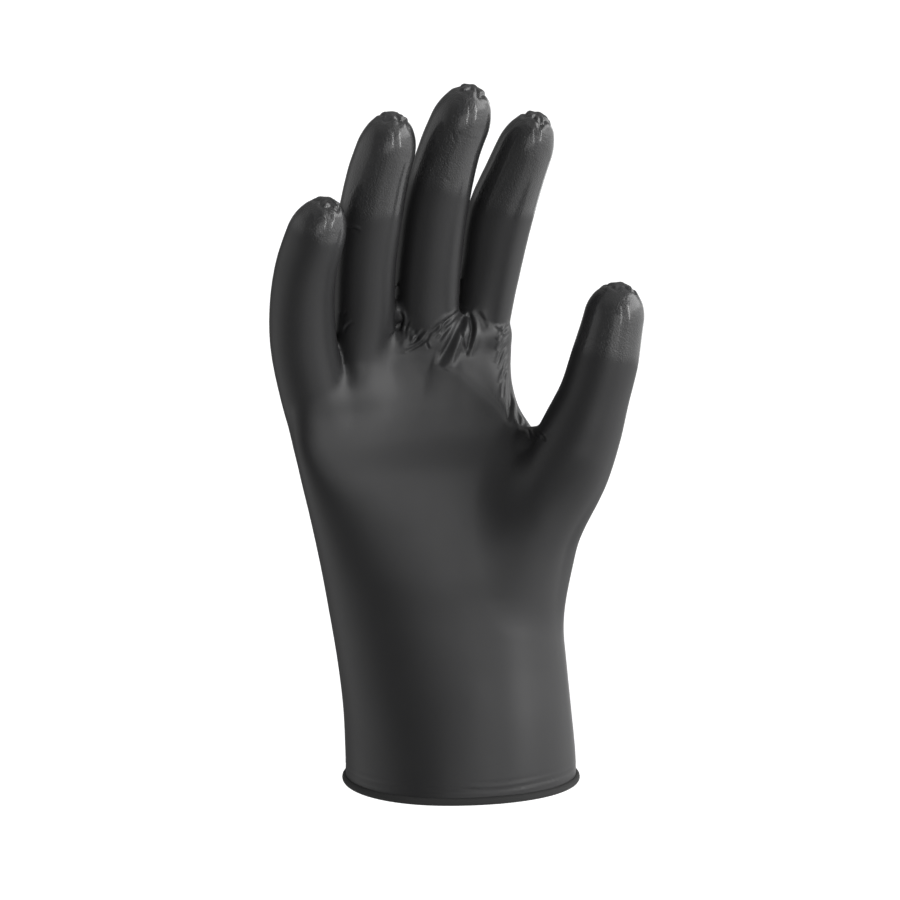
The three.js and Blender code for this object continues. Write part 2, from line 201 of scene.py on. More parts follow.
# Balls that round off the crotch of the thumb and the one between the ring and the middle finger: middle as
# shares of the palm's sizes, radius and fillet in mm
WEBS = (
    {"place": (0.300, -0.250, 0.748), "radius": 4.2, "flow": 5.0},
    {"place": (-0.275, -0.125, 1.019), "radius": 3.6, "flow": 2.4},
)

# Folds of the film. A line's points are pixels of the camera's picture, u across and v down. Width and depth
# are those of the crease along the line, and lift is how far the film beside it stands up (mm): right of
# a line that runs down, or above one that runs right, and on the other side where it is negative.
FOLD_COLUMNS = ("line", "width", "depth", "lift", "ease")
FOLD_ROWS = (
    (((399, 311), (402, 317), (402, 322), (399, 332)), 0.55, 0.55, 0.45),
    (((408, 314), (405, 330), (403, 354)), 1.6, -0.55, 0.0),
    (((410, 319), (406, 330), (405, 340)), 0.4, 0.25, 0.15),
    (((414, 330), (416, 336), (418, 342)), 0.7, 0.35, -0.30),
    (((396, 310), (396, 325), (400, 342)), 0.8, -0.35, 0.0),
    (((405, 352), (413, 348), (425, 341), (430, 334)), 0.45, 0.45, 0.35),
    (((412, 344), (419, 335), (424, 331)), 0.45, 0.40, 0.30),
    (((418, 346), (426, 337), (434, 328)), 0.45, 0.30, 0.25),
    (((426, 342), (429, 349)), 0.4, 0.20, 0.20),
    (((440, 334), (444, 324), (453, 316), (461, 309)), 0.5, 0.75, 0.45),
    (((432, 331), (440, 324), (450, 315)), 0.5, 0.30, 0.20),
    (((438, 341), (446, 331), (458, 317)), 0.6, 0.45, 0.35),
    (((434, 338), (441, 331), (449, 325)), 0.5, 0.30, 0.25),
    (((463, 315), (458, 328), (450, 344), (438, 366)), 1.3, 0.95, 0.60),
    (((456, 316), (449, 332), (440, 352)), 1.2, -0.35, 0.0),
    (((461, 320), (456, 344), (450, 368)), 1.1, -0.40, 0.0),
    (((460, 332), (463, 344), (467, 355)), 0.45, 0.40, 0.35),
    (((465, 310), (466, 322), (464, 338)), 1.0, -0.50, 0.0),
    (((468, 311), (472, 326), (471, 338), (466, 356)), 0.7, 0.85, 0.65),
    (((478, 312), (483, 320), (487, 328)), 0.7, 0.20, 0.20),
    (((494, 327), (499, 331), (503, 337)), 0.5, 0.25, 0.25),
    (((511, 322), (505, 330), (499, 341)), 0.55, 0.55, -0.45),
    (((510, 332), (504, 338), (498, 351)), 0.5, 0.40, -0.35),
    (((509, 341), (503, 350), (498, 364)), 0.5, 0.40, -0.35),
    (((509, 350), (505, 357), (501, 370)), 0.45, 0.35, -0.30),
    (((508, 360), (505, 370), (501, 384)), 0.45, 0.40, -0.30),
    (((508, 368), (506, 373), (504, 380)), 0.45, 0.45, -0.30),
    (((506, 376), (504, 386), (503, 398)), 0.4, 0.25, -0.25),
    (((512, 369), (511, 384), (511, 398), (509, 422)), 0.7, 0.90, 0.50),
    (((514, 392), (517, 404), (519, 415), (521, 429)), 0.5, 0.65, 0.45),
    (((522, 411), (525, 420), (528, 429), (531, 440)), 0.55, 0.75, 0.50),
    (((527, 419), (531, 427), (534, 433), (539, 439)), 0.45, 0.55, 0.40),
    (((533, 429), (539, 423), (547, 417)), 0.55, 0.65, 0.45),
    (((533, 430), (540, 434), (546, 441)), 0.5, 0.35, 0.30),
    (((343, 333), (347, 326), (353, 322)), 0.5, 0.30, 0.20),
    (((340, 316), (347, 313)), 0.5, 0.25, 0.20),
    (((346, 229), (353, 229), (360, 231)), 0.45, 0.35, 0.30),
    (((452, 130), (454, 138), (456, 147)), 0.5, 0.07, 0.05),
    (((460, 134), (470, 138), (481, 140)), 0.5, 0.07, 0.05),
    (((431, 167), (434, 172), (437, 177)), 0.5, 0.07, 0.05),
    (((444, 176), (448, 180), (452, 183)), 0.5, 0.07, 0.05),
)

# Broad forms of the palm, given as folds: the edge between palm and web, the hollow under the fingers and
# the softened side of the thumb's mound. A larger ease fades a form more softly towards its line's ends.
CREST_ROWS = (
    (((392, 364), (440, 366), (462, 374), (480, 392), (496, 408), (512, 421), (530, 432)),
     3.0, -0.55, 0.0),
    (((430, 372), (466, 382), (496, 404), (516, 424), (532, 446)), 9.0, -1.3,
     0.0),
    (((354, 378), (408, 369), (462, 366)), 13.0, 2.2, 0.0, 1.4),
    (((592, 462), (566, 520), (548, 572), (534, 640)), 11.0, 2.3, 0.0,
     1.2),
    (((528, 432), (513, 480), (508, 530), (514, 600)), 13.0, -2.0, 0.0,
     1.2),
)
FOLDS = [dict(zip(FOLD_COLUMNS, row)) for row in FOLD_ROWS]
CRESTS = [dict(zip(FOLD_COLUMNS, row)) for row in CREST_ROWS]

# A fold's lifted side has its middle and width given in widths of the crease, and a fold is flat past
# FOLD_REACH widths. It fades where the normal's share to the palm's side falls through FOLD_FACING.
LIFT_MIDDLE = 1.9
LIFT_WIDTH = 1.3
FOLD_REACH = 5.0
FOLD_FACING = (0.20, 0.55)
FOLD_EASE = 0.6

# How near a face is split once, and split again: to a fold (mm), to a tip's pole (radians), to the rim (mm).
# At a fold only a face that leans back by less than SPLIT_BACK is split.
SPLIT_ONCE = 4.0
SPLIT_TWICE = 2.0
SPLITS = ((SPLIT_ONCE, 1.5, 9.0), (SPLIT_TWICE, 0.8, 0.0))
SPLIT_BACK = 0.3

# How far from a digit's middle line, in its half widths, a face is split with its tip, and a point counts as
# the digit's own
SPLIT_AROUND = 1.2
OWN_AROUND = 1.25

# Puckered cap on each digit's tip, with radii and widths as angles from the pole and heights in mm.
# gather_place is a share of the ring's radius.
CAP = {
    "ring": 0.50, "ring_width": 0.07, "ring_depth": 0.42,
    "gathers": 9, "gather_place": 0.8, "gather_width": 0.17, "gather_height": 0.30,
    "nub": 0.14, "nub_height": 0.35,
    "uneven_length": 3.2, "uneven_height": 0.10, "uneven_end": (0.6, 1.1),
}

# Edge of the grainy finish: its softness and its waves as shares of the digit's length, and the waves' length
# in mm
GRAIN_EDGE = {"softness": 0.035, "wave": 0.008, "wave_length": 7.0}

# Creases above the rim, in mm: where they start and end, their height and spacing, and how they wave and
# climb
CUFF = {
    "start": (1.5, 3.0), "end": (4.0, 8.0), "facing": (-0.3, 0.6), "height": 0.16, "spacing": 2.4,
    "wave": 0.5, "wave_length": 7.0, "climb": 0.012,
}

# Camera: aim, lens and sensor in mm, pixels along the picture's side, and how far it sees in m
CAMERA = {"aim": (-3.811, 0.0, 115.579), "lens": 117.65, "sensor": 36.0, "pixels": 900.0, "sight": 200.0}

# Soft lights of the room: strength times a smooth rise, or fall, on the direction's X for across and beside
# and on its Z for up and under
LIGHTS = {
    "right": {"across": (0.58, 0.84), "strength": 0.55},
    "high_right": {"across": (0.60, 0.85), "up": (0.10, 0.28), "strength": 3.10},
    "left": {"across": (-0.66, -0.97), "strength": 0.60},
    "above": {"up": (0.45, 0.85), "strength": 0.30},
    "low": {"across": (-0.18, 0.10), "up": (0.22, 0.06), "under": (-0.38, -0.20), "strength": 0.50},
    "low_near": {
        "across": (-0.18, 0.10), "beside": (0.62, 0.38), "up": (0.22, 0.06), "under": (-0.38, -0.20),
        "strength": 0.74,
    },
    "floor_right": {"across": (0.05, 0.36), "up": (-0.28, -0.45), "strength": 0.55},
    "floor_left": {"across": (-0.42, -0.75), "up": (-0.28, -0.45), "strength": 0.35},
    "below": {"up": (-0.60, -0.95), "strength": 0.30},
}

# Narrow lights that draw the streaks on the fingertips, the point that they face, and half the floor's side,
# all in m
STRIPS = {
    "tall_right": {"wide": 0.045, "tall": 0.80, "radiance": 21.0, "place": (0.96, -0.72, 0.42)},
    "narrow_front": {"wide": 0.030, "tall": 0.80, "radiance": 21.0, "place": (0.48, -1.10, 0.42)},
}
STRIP_AIM = (0.0, 0.0, 0.12)
FLOOR_HALF = 40.0

# Steps of the outer and inner level surface, of the tables and of the slope, and the farthest that a point
# settles at once (mm)
OUTER_STEP = 1.5
INNER_STEP = 2.4
TABLE_STEP = 0.25
SLOPE_STEP = 0.15
SETTLE_STEP = 0.8

# The level surfaces' grid: its corners as shares of the glove's width, depth and height, the distance where
# no digit is near, and how far past its half width a digit's distance is worked out (mm)
GRID_LOW = (-0.56, -0.62)
GRID_HIGH = (0.54, 0.48, 1.02)
FAR = 1000.0
DIGIT_MARGIN = 12.0

# Angles round a sleeve's section, stations along a digit and how far they run past its tip, steps round the
# rim and round its bead, and the least superellipse radius that a distance is divided by
SECTION_ANGLES = 720
LINE_STATIONS = 600
LINE_PAST_TIP = 0.1
RIM_STEPS = 240
RIM_SIDES = 16
LEAST_RADIUS = 1e-4

# Noise of the nitrile in cells per metre, the satin noise's share of the height and its change of roughness,
# and the tips' smoother face and coat
GRAIN_SCALE = 1700.0
SATIN_SCALE = 90.0
SATIN_HEIGHT = 0.25
SATIN_SPREAD = 0.10
TIP_SMOOTHER = 0.04
TIP_COAT = 0.75


def smooth_curve(rows, at):
    """Cubic between each pair of rows, with a row's slope taken from its two neighbours. Column 0 is the
    station; the result has the other columns at each station asked for."""
    station = rows[:, 0]
    value = rows[:, 1:]
    slope = np.empty_like(value)
    slope[1:-1] = (value[2:] - value[:-2]) / (station[2:] - station[:-2])[:, None]
    slope[0] = (value[1] - value[0]) / (station[1] - station[0])
    slope[-1] = (value[-1] - value[-2]) / (station[-1] - station[-2])
    i = np.clip(np.searchsorted(station, at, side="right") - 1, 0, len(station) - 2)
    span = (station[i + 1] - station[i])[:, None]
    q = (at - station[i])[:, None] / span
    rise = q * q * (3.0 - 2.0 * q)
    leave = q * (1.0 - q) ** 2 * span
    arrive = -q * q * (1.0 - q) * span
    return value[i] + rise * (value[i + 1] - value[i]) + leave * slope[i] + arrive * slope[i + 1]


def smooth_step(low, high, value):
    """0 below low, 1 above high and a cubic rise between them."""
    share = np.clip((value - low) / (high - low), 0.0, 1.0)
    return share * share * (3.0 - 2.0 * share)


def joined(a, b, flow):
    """Smaller of two distances, rounded where they come within flow of each other, so that two forms meet in
    a fillet: min(a, b) - h * h * flow / 4 with h = (flow - |a - b|) / flow, and never under 0."""
    h = np.maximum(flow - np.abs(a - b), 0.0) / flow
    return np.minimum(a, b) - h * h * flow / 4.0


def signed_power(value, power):
    """The value's size to a power, with its sign kept."""
    return np.sign(value) * np.abs(value) ** power


class Table:
    """Columns of numbers at even stations, read between them along straight lines."""

    def __init__(self, station, **columns):
        self.station = station
        self.columns = columns

    def __call__(self, name, at):
        return np.interp(at, self.station, self.columns[name])


class Hand:
    """The glove's outer face as a level surface: distance(x, y, z) in mm is 0 on it and positive outside."""

    def __init__(self, settings):
        self.width = settings.width / MM
        self.depth = settings.depth / MM
        self.height = settings.height / MM
        reach = {"width": self.width, "depth": self.depth, "height": self.height}
        self.size = {name: share * reach[name.split("_")[1]] for name, share in SHARES.items()}
        self.sleeve = self.sleeve_table()
        self.digits = {name: self.digit_table(data) for name, data in DIGITS.items()}

    def sleeve_table(self):
        """Sleeve sections at even heights, with the reach of each turned section before it is stretched."""
        size = self.size
        rows = []
        for up, region, left, right, front, back, shift, turn, cup, crown, heel, thumb in SLEEVE_ROWS:
            width = size[region + "_width"]
            depth = size[region + "_depth"]
            rows.append((
                up * size["palm_height"], -left * width, right * width, front * depth, back * depth,
                shift * depth, turn * PALM_TURN, cup * depth, crown, heel, thumb,
            ))
        names = SLEEVE_COLUMNS[2:]
        height = np.arange(0.0, rows[-1][0] + TABLE_STEP, TABLE_STEP)
        values = smooth_curve(np.array(rows), height)
        table = dict(zip(names, values.T))
        angle = np.linspace(0.0, 2.0 * np.pi, SECTION_ANGLES, endpoint=False)[None, :]
        column = {name: table[name][:, None] for name in names}
        half = (column["right"] - column["left"]) / 2.0
        power = 2.0 / np.where(np.cos(angle) < 0.0, column["heel"], column["thumb"])
        lean = np.where(np.sin(angle) < 0.0, column["crown"], 0.0)
        share = signed_power(np.cos(angle), power)
        across = (lean + share * np.where(share < 0.0, 1.0 + lean, 1.0 - lean)) * half
        deep = np.where(np.sin(angle) < 0.0, column["front"], column["back"])
        through = signed_power(np.sin(angle), power) * deep
        through = through - column["cup"] * (across / half) ** 2
        x = across * np.cos(column["turn"]) - through * np.sin(column["turn"])
        return Table(height, low=x.min(axis=1), high=x.max(axis=1), **table)

    def sleeve_distance(self, x, y, z):
        """Each level's section is a superellipse that is bent, turned and stretched in X. The point is taken
        back through those steps, and its distance is r * (1 - 1 / rho): r is how far it lies from the
        section's middle and rho is its superellipse radius, which is 1 on the section's line."""
        table = self.sleeve
        left = table("left", z)
        right = table("right", z)
        half = (right - left) / 2.0
        low = table("low", z)
        plain = low + (x - left) * (table("high", z) - low) / (right - left)
        turn = table("turn", z)
        behind = y - table("shift", z)
        across = plain * np.cos(turn) + behind * np.sin(turn)
        through = behind * np.cos(turn) - plain * np.sin(turn)
        through = through + table("cup", z) * (across / half) ** 2
        in_front = through < 0.0
        lean = np.where(in_front, table("crown", z), 0.0)
        share = across / half - lean
        share = share / np.where(share < 0.0, 1.0 + lean, 1.0 - lean)
        power = np.where(share < 0.0, table("heel", z), table("thumb", z))
        deep = through / np.where(in_front, table("front", z), table("back", z))
        rho = (np.abs(share) ** power + np.abs(deep) ** power) ** (1.0 / power)
        distance = np.hypot(share * half, through) * (1.0 - 1.0 / np.maximum(rho, LEAST_RADIUS))
        return np.maximum(distance, z - table.station[-1])

    def digit_table(self, data):
        """A digit's middle line, half sizes and cross directions at even stations."""
        share_long, share_wide, share_deep = data["size"]
        length = share_long * self.height
        width = share_wide * self.width
        depth = share_deep * self.depth
        across, fore, up = data["web"]
        size = self.size
        place = np.array([
            across * size["palm_width"], fore * size["palm_depth"], up * size["palm_height"],
        ])
        rows = np.array(data["rows"])
        station = np.linspace(rows[0, 0], rows[-1, 0] + LINE_PAST_TIP, LINE_STATIONS)
        side, fore, wide, deep = smooth_curve(rows, station).T
        line = place + length * np.stack([side, fore, station], axis=1)
        slope = np.gradient(line, station, axis=0)
        along = slope / np.linalg.norm(slope, axis=1)[:, None]
        turn = data["turn"] * PALM_TURN
        to_back = np.array([-math.sin(turn), math.cos(turn), 0.0])
        sideways = np.cross(to_back, along)
        sideways = sideways / np.linalg.norm(sideways, axis=1)[:, None]
        through = np.cross(along, sideways)
        columns = {
            "half_width": wide * width / 2.0,
            "half_depth": deep * depth / 2.0,
            "speed": np.linalg.norm(slope, axis=1),
        }
        for name, vectors in (("line", line), ("slope", slope), ("side", sideways), ("through", through)):
            for axis, letter in enumerate("xyz"):
                columns[name + "_" + letter] = vectors[:, axis]
        table = Table(station, **columns)
        table.length = length
        table.base = place[2]
        table.first = rows[0, 0]
        table.dome = data["dome"] * width / length
        table.root = ROOT_DOME * width / length
        table.grain = data["grain"]
        return table

    def digit_station(self, digit, x, y, z):
        """Station whose cross section holds the point, found in three steps along the middle line."""
        at = np.clip((z - digit.base) / digit.length, digit.station[0], digit.station[-1])
        for _ in range(3):
            ahead = (
                (x - digit("line_x", at)) * digit("slope_x", at)
                + (y - digit("line_y", at)) * digit("slope_y", at)
                + (z - digit("line_z", at)) * digit("slope_z", at)
            )
            at = np.clip(at + ahead / digit("speed", at) ** 2, digit.station[0], digit.station[-1])
        return at

    def digit_place(self, digit, x, y, z):
        """Station of a point on a digit, and how far it lies from the middle line sideways and through."""
        at = self.digit_station(digit, x, y, z)
        away = (x - digit("line_x", at), y - digit("line_y", at), z - digit("line_z", at))
        wide = sum(part * digit("side_" + letter, at) for part, letter in zip(away, "xyz"))
        deep = sum(part * digit("through_" + letter, at) for part, letter in zip(away, "xyz"))
        return at, wide, deep

    def digit_distance(self, digit, x, y, z):
        """Round a bent middle line the sections are ellipses, and both ends are half ellipsoids. The distance
        is r * (1 - 1 / rho), with rho the ellipsoid radius at the point's own station."""
        at, wide, deep = self.digit_place(digit, x, y, z)
        tip = np.maximum(at - (1.0 - digit.dome), 0.0) / digit.dome
        root = np.maximum(digit.first + digit.root - at, 0.0) / digit.root
        end = tip + root
        end_size = np.where(tip > 0.0, digit.dome, digit.root) * digit.length
        share_wide = wide / digit("half_width", at)
        share_deep = deep / digit("half_depth", at)
        rho = np.sqrt(share_wide**2 + share_deep**2 + end**2)
        reach = np.sqrt(wide**2 + deep**2 + (end * end_size) ** 2)
        return reach * (1.0 - 1.0 / np.maximum(rho, LEAST_RADIUS))

    def distance(self, x, y, z):
        """Sleeve and thumb flow into each other widely, and the fingers into both closely."""
        digits = {name: self.digit_distance(digit, x, y, z) for name, digit in self.digits.items()}
        fingers = digits[FINGERS[0]]
        for name in FINGERS[1:]:
            fingers = joined(fingers, digits[name], CROTCH_FLOW)
        return self.whole(self.sleeve_distance(x, y, z), digits["thumb"], fingers, self.webs(x, y, z))

    def whole(self, sleeve, thumb, fingers, webs):
        """The distances of the glove's regions as one."""
        body = joined(joined(sleeve, thumb, THUMB_FLOW), fingers, FINGER_FLOW)
        for ball, distance in zip(WEBS, webs):
            body = joined(body, distance, ball["flow"])
        return body

    def webs(self, x, y, z):
        """Distance to each of the balls that round off the crotches."""
        size = self.size
        distances = []
        for ball in WEBS:
            across, fore, up = ball["place"]
            distances.append(np.sqrt(
                (x - across * size["palm_width"]) ** 2
                + (y - fore * size["palm_depth"]) ** 2
                + (z - up * size["palm_height"]) ** 2
            ) - ball["radius"])
        return distances

    def tip_angles(self, digit, points):
        """Angle from the digit's pole, which is over 1.57 below its dome, and the angle round its axis."""
        x, y, z = points.T
        at, wide, deep = self.digit_place(digit, x, y, z)
        share_wide = wide / digit("half_width", at)
        share_deep = deep / digit("half_depth", at)
        end = (at - (1.0 - digit.dome)) / digit.dome
        around = np.hypot(share_wide, share_deep)
        pole = np.arctan2(around, end)
        return pole, np.arctan2(share_deep, share_wide), at, around

    def slope(self, points):
        """Distance and its steepest direction at points, from small steps along X, Y and Z."""
        here = self.distance(*points.T)
        rise = np.empty_like(points)
        for axis in range(3):
            step = np.zeros(3)
            step[axis] = SLOPE_STEP
            rise[:, axis] = self.distance(*(points + step).T) - here
        return here, rise / SLOPE_STEP

    def settle(self, points, level, rounds=3):
        """Points moved onto the surface that lies level outside the glove's face, and their normals."""
        for _ in range(rounds):
            here, rise = self.slope(points)
            step = np.clip((here - level) / (rise**2).sum(axis=1), -SETTLE_STEP, SETTLE_STEP)
            points = points - step[:, None] * rise
        rise = self.slope(points)[1]
        return points, rise / np.linalg.norm(rise, axis=1)[:, None]


def level_surface(values, corner, step):
    """Quads where a field on an even grid changes sign: one point in each cell that the surface crosses, at
    the mean of its edge crossings, and one quad round each grid edge that the surface crosses."""
    inside = values < 0.0
    cells = tuple(size - 1 for size in values.shape)
    count = np.zeros(cells, np.int8)
    shifts = [(i, j, k) for i in (0, 1) for j in (0, 1) for k in (0, 1)]
    for i, j, k in shifts:
        count += inside[i:cells[0] + i, j:cells[1] + j, k:cells[2] + k]
    mixed = (count > 0) & (count < 8)
    cell = np.argwhere(mixed)
    number = np.full(cells, -1, np.int64)
    number[mixed] = np.arange(len(cell))
    total = np.zeros((len(cell), 3))
    crossings = np.zeros(len(cell))
    for axis in range(3):
        for shift in shifts:
            if shift[axis]:
                continue
            start = cell + np.array(shift)
            end = start.copy()
            end[:, axis] += 1
            a = values[tuple(start.T)]
            b = values[tuple(end.T)]
            crossed = (a < 0.0) != (b < 0.0)
            share = np.where(crossed, a / np.where(crossed, a - b, 1.0), 0.0)
            place = start.astype(float)
            place[:, axis] += share
            total += place * crossed[:, None]
            crossings += crossed
    points = corner + step * total / crossings[:, None]
    quads = []
    for axis in range(3):
        u = (axis + 1) % 3
        v = (axis + 2) % 3
        first = [slice(None)] * 3
        second = [slice(None)] * 3
        first[axis] = slice(0, -1)
        second[axis] = slice(1, None)
        changed = inside[tuple(first)] != inside[tuple(second)]
        edge = np.argwhere(changed)
        kept = (edge[:, u] > 0) & (edge[:, v] > 0) & (edge[:, u] < cells[u]) & (edge[:, v] < cells[v])
        edge = edge[kept]
        leaves = inside[tuple(edge.T)]
        around = []
        for back_u, back_v in ((1, 1), (0, 1), (0, 0), (1, 0)):
            place = edge.copy()
            place[:, u] -= back_u
            place[:, v] -= back_v
            around.append(number[tuple(place.T)])
        quad = np.stack(around, axis=1)
        quad[~leaves] = quad[~leaves][:, ::-1]
        quads.append(quad)
    return points, np.concatenate(quads)


def quad_edges(quads):
    """The directed edges of all quads."""
    return np.concatenate([quads[:, [i, (i + 1) % 4]] for i in range(4)])


def relaxed(points, quads, held):
    """Each point moved to the mean of its neighbours along the quads' edges, except where held."""
    edges = quad_edges(quads)
    total = np.zeros_like(points)
    count = np.zeros(len(points))
    for a, b in ((0, 1), (1, 0)):
        for axis in range(3):
            total[:, axis] += np.bincount(edges[:, a], points[edges[:, b], axis], len(points))
        count += np.bincount(edges[:, a], minlength=len(points))
    mean = total / count[:, None]
    return np.where(held[:, None], points, mean)


def open_edge(quads):
    """Directed edges that only one quad has."""
    edges = quad_edges(quads)
    top = int(edges.max()) + 1
    key = edges[:, 0] * top + edges[:, 1]
    back = edges[:, 1] * top + edges[:, 0]
    return edges[~np.isin(key, back)]


def film_wall(hand, level, step, floor):
    """The surface that lies level outside the glove's face, open at height floor: points, normals, quads."""
    low = np.array([GRID_LOW[0] * hand.width, GRID_LOW[1] * hand.depth, floor - step / 2.0])
    high = np.array([GRID_HIGH[0] * hand.width, GRID_HIGH[1] * hand.depth, GRID_HIGH[2] * hand.height])
    axes = [np.arange(low[i], high[i] + step, step) for i in range(3)]
    x = axes[0][:, None, None]
    y = axes[1][None, :, None]
    z = axes[2][None, None, :]
    body = hand.sleeve_distance(x, y, z)
    fingers = np.full(body.shape, FAR)
    thumb = np.full(body.shape, FAR)
    for name, digit in hand.digits.items():
        box = []
        for letter, axis in zip("xyz", axes):
            line = digit.columns["line_" + letter]
            reach = float(digit.columns["half_width"].max()) + DIGIT_MARGIN
            box.append(slice(
                int(np.searchsorted(axis, line.min() - reach)),
                int(np.searchsorted(axis, line.max() + reach)),
            ))
        near_x, near_y, near_z = (axis[span] for axis, span in zip(axes, box))
        part = hand.digit_distance(
            digit, near_x[:, None, None], near_y[None, :, None], near_z[None, None, :],
        )
        target = thumb if name == "thumb" else fingers
        target[tuple(box)] = joined(target[tuple(box)], part, CROTCH_FLOW)
    field = hand.whole(body, thumb, fingers, hand.webs(x, y, z)) - level
    points, quads = level_surface(field, low, step)
    rim = np.zeros(len(points), bool)
    rim[open_edge(quads).ravel()] = True
    for _ in range(2):
        points = relaxed(points, quads, rim)
        points, normals = hand.settle(points, level)
        points[rim, 2] = floor
    return points, normals, quads


def refined(points, quads, chosen):
    """Splits each chosen quad into four. A quad beside one takes the new point on their edge as a corner
    of its own, so the surface stays closed. Gives the points, the quads and blocks of faces with more
    corners."""
    top = len(points)
    ends = np.stack([quads, np.roll(quads, -1, axis=1)], axis=2)
    key = ends.min(axis=2) * top + ends.max(axis=2)
    split = np.unique(key[chosen])
    middle = (points[split // top] + points[split % top]) / 2.0
    centre = points[quads[chosen]].mean(axis=1)
    at = np.searchsorted(split, key).clip(0, len(split) - 1)
    has = split[at] == key
    number = top + at
    own = top + len(split) + np.arange(len(centre))
    corners = quads[chosen]
    edge = number[chosen]
    parts = [
        np.stack([corners[:, i], edge[:, i], own, edge[:, i - 1]], axis=1) for i in range(4)
    ]
    plain = ~chosen & ~has.any(axis=1)
    blocks = []
    pattern = has @ np.array([1, 2, 4, 8])
    for bits in range(1, 16):
        beside = ~chosen & (pattern == bits)
        columns = []
        for i in range(4):
            columns.append(quads[beside, i])
            if bits >> i & 1:
                columns.append(number[beside, i])
        blocks.append(np.stack(columns, axis=1))
    points = np.concatenate([points, middle, centre])
    return points, np.concatenate([quads[plain], *parts]), [block for block in blocks if len(block)]


def bowed(line, count=8):
    """A line's points with count steps between each two of them, bowed through them."""
    points = np.array(line, float)
    station = np.arange(len(points), dtype=float)
    rows = np.concatenate([station[:, None], points], axis=1)
    if len(points) == 2:
        share = np.linspace(0.0, 1.0, count + 1)[:, None]
        return points[0] + share * (points[1] - points[0])
    return smooth_curve(rows, np.linspace(0.0, station[-1], count * (len(points) - 1) + 1))


def near_line(place, line):
    """Distance of places in the picture to a bowed line, in pixels: positive to the right of a line that runs
    down. Also the share of the line's length where the nearest point lies."""
    path = bowed(line)
    start = path[:-1]
    step = path[1:] - start
    length = np.hypot(*step.T)
    away = place[:, None, :] - start[None, :, :]
    share = np.clip((away * step).sum(axis=2) / length**2, 0.0, 1.0)
    gap = away - share[:, :, None] * step
    distance = np.hypot(gap[:, :, 0], gap[:, :, 1])
    best = distance.argmin(axis=1)
    row = np.arange(len(place))
    side = step[best, 1] * away[row, best, 0] - step[best, 0] * away[row, best, 1]
    along = np.concatenate([[0.0], np.cumsum(length)])
    reached = (along[best] + share[row, best] * length[best]) / along[-1]
    return distance[row, best] * np.where(side < 0.0, -1.0, 1.0), reached


class Picture:
    """Where the camera sees a point, in pixels of its 900 by 900 picture."""

    def __init__(self, studio):
        self.pitch = studio.pitch
        self.ahead = np.array([0.0, math.cos(self.pitch), -math.sin(self.pitch)])
        self.up = np.array([0.0, math.sin(self.pitch), math.cos(self.pitch)])
        self.eye = np.array(CAMERA["aim"]) - self.ahead * studio.distance / MM
        self.focal = CAMERA["lens"] / CAMERA["sensor"] * CAMERA["pixels"]
        self.pixel = studio.distance / MM / self.focal

    def __call__(self, points):
        away = points - self.eye
        scale = self.focal / (away @ self.ahead)
        half = CAMERA["pixels"] / 2.0
        return np.stack([half + away[:, 0] * scale, half - (away @ self.up) * scale], axis=1)


def near_box(place, line, reach):
    """Whether places in the picture lie within reach, in pixels, of the box round a line."""
    ends = np.array(line, float)
    return ((place > ends.min(axis=0) - reach) & (place < ends.max(axis=0) + reach)).all(axis=1)


def fold_height(picture, points, normals, folds):
    """Height of the folds at points, in mm. At the distance d, in widths of the crease, it is
    -depth * exp(-d ** 2) + lift * exp(-((d - LIFT_MIDDLE) / LIFT_WIDTH) ** 2). It fades to 0 at the line's
    ends as the sine of the share of its length to the power ease, and where the film turns away from the
    palm's side."""
    place = picture(points)
    faces = smooth_step(*FOLD_FACING, -normals[:, 1])
    height = np.zeros(len(points))
    for fold in folds:
        close = near_box(place, fold["line"], fold["width"] * FOLD_REACH / picture.pixel)
        close &= faces > 0.0
        if not close.any():
            continue
        away, along = near_line(place[close], fold["line"])
        away = away * picture.pixel / fold["width"]
        fade = np.sin(np.pi * np.clip(along, 0.0, 1.0)) ** fold.get("ease", FOLD_EASE)
        side = math.copysign(1.0, fold["lift"])
        crease = -fold["depth"] * np.exp(-away**2)
        beside = abs(fold["lift"]) * np.exp(-((away * side - LIFT_MIDDLE) / LIFT_WIDTH) ** 2)
        height[close] += (crease + beside) * fade
    return height * faces


def fold_distance(picture, points):
    """Distance in mm from points to the nearest fold as the camera sees it, or twice SPLIT_ONCE where none is
    near."""
    place = picture(points)
    nearest = np.full(len(points), SPLIT_ONCE * 2.0)
    for fold in FOLDS:
        close = near_box(place, fold["line"], SPLIT_ONCE / picture.pixel)
        if close.any():
            away = np.abs(near_line(place[close], fold["line"])[0]) * picture.pixel
            nearest[close] = np.minimum(nearest[close], away)
    return nearest


def ripples(points, length, seed, count=14):
    """Smooth seeded roughness between about -1 and 1: a mean of sines of one length in random directions."""
    random = np.random.default_rng(seed)
    ways = random.normal(size=(count, 3))
    ways = ways / np.linalg.norm(ways, axis=1)[:, None] * 2.0 * np.pi / length
    phases = random.uniform(0.0, 2.0 * np.pi, count)
    return np.sin(points @ ways.T + phases).sum(axis=1) / math.sqrt(count)


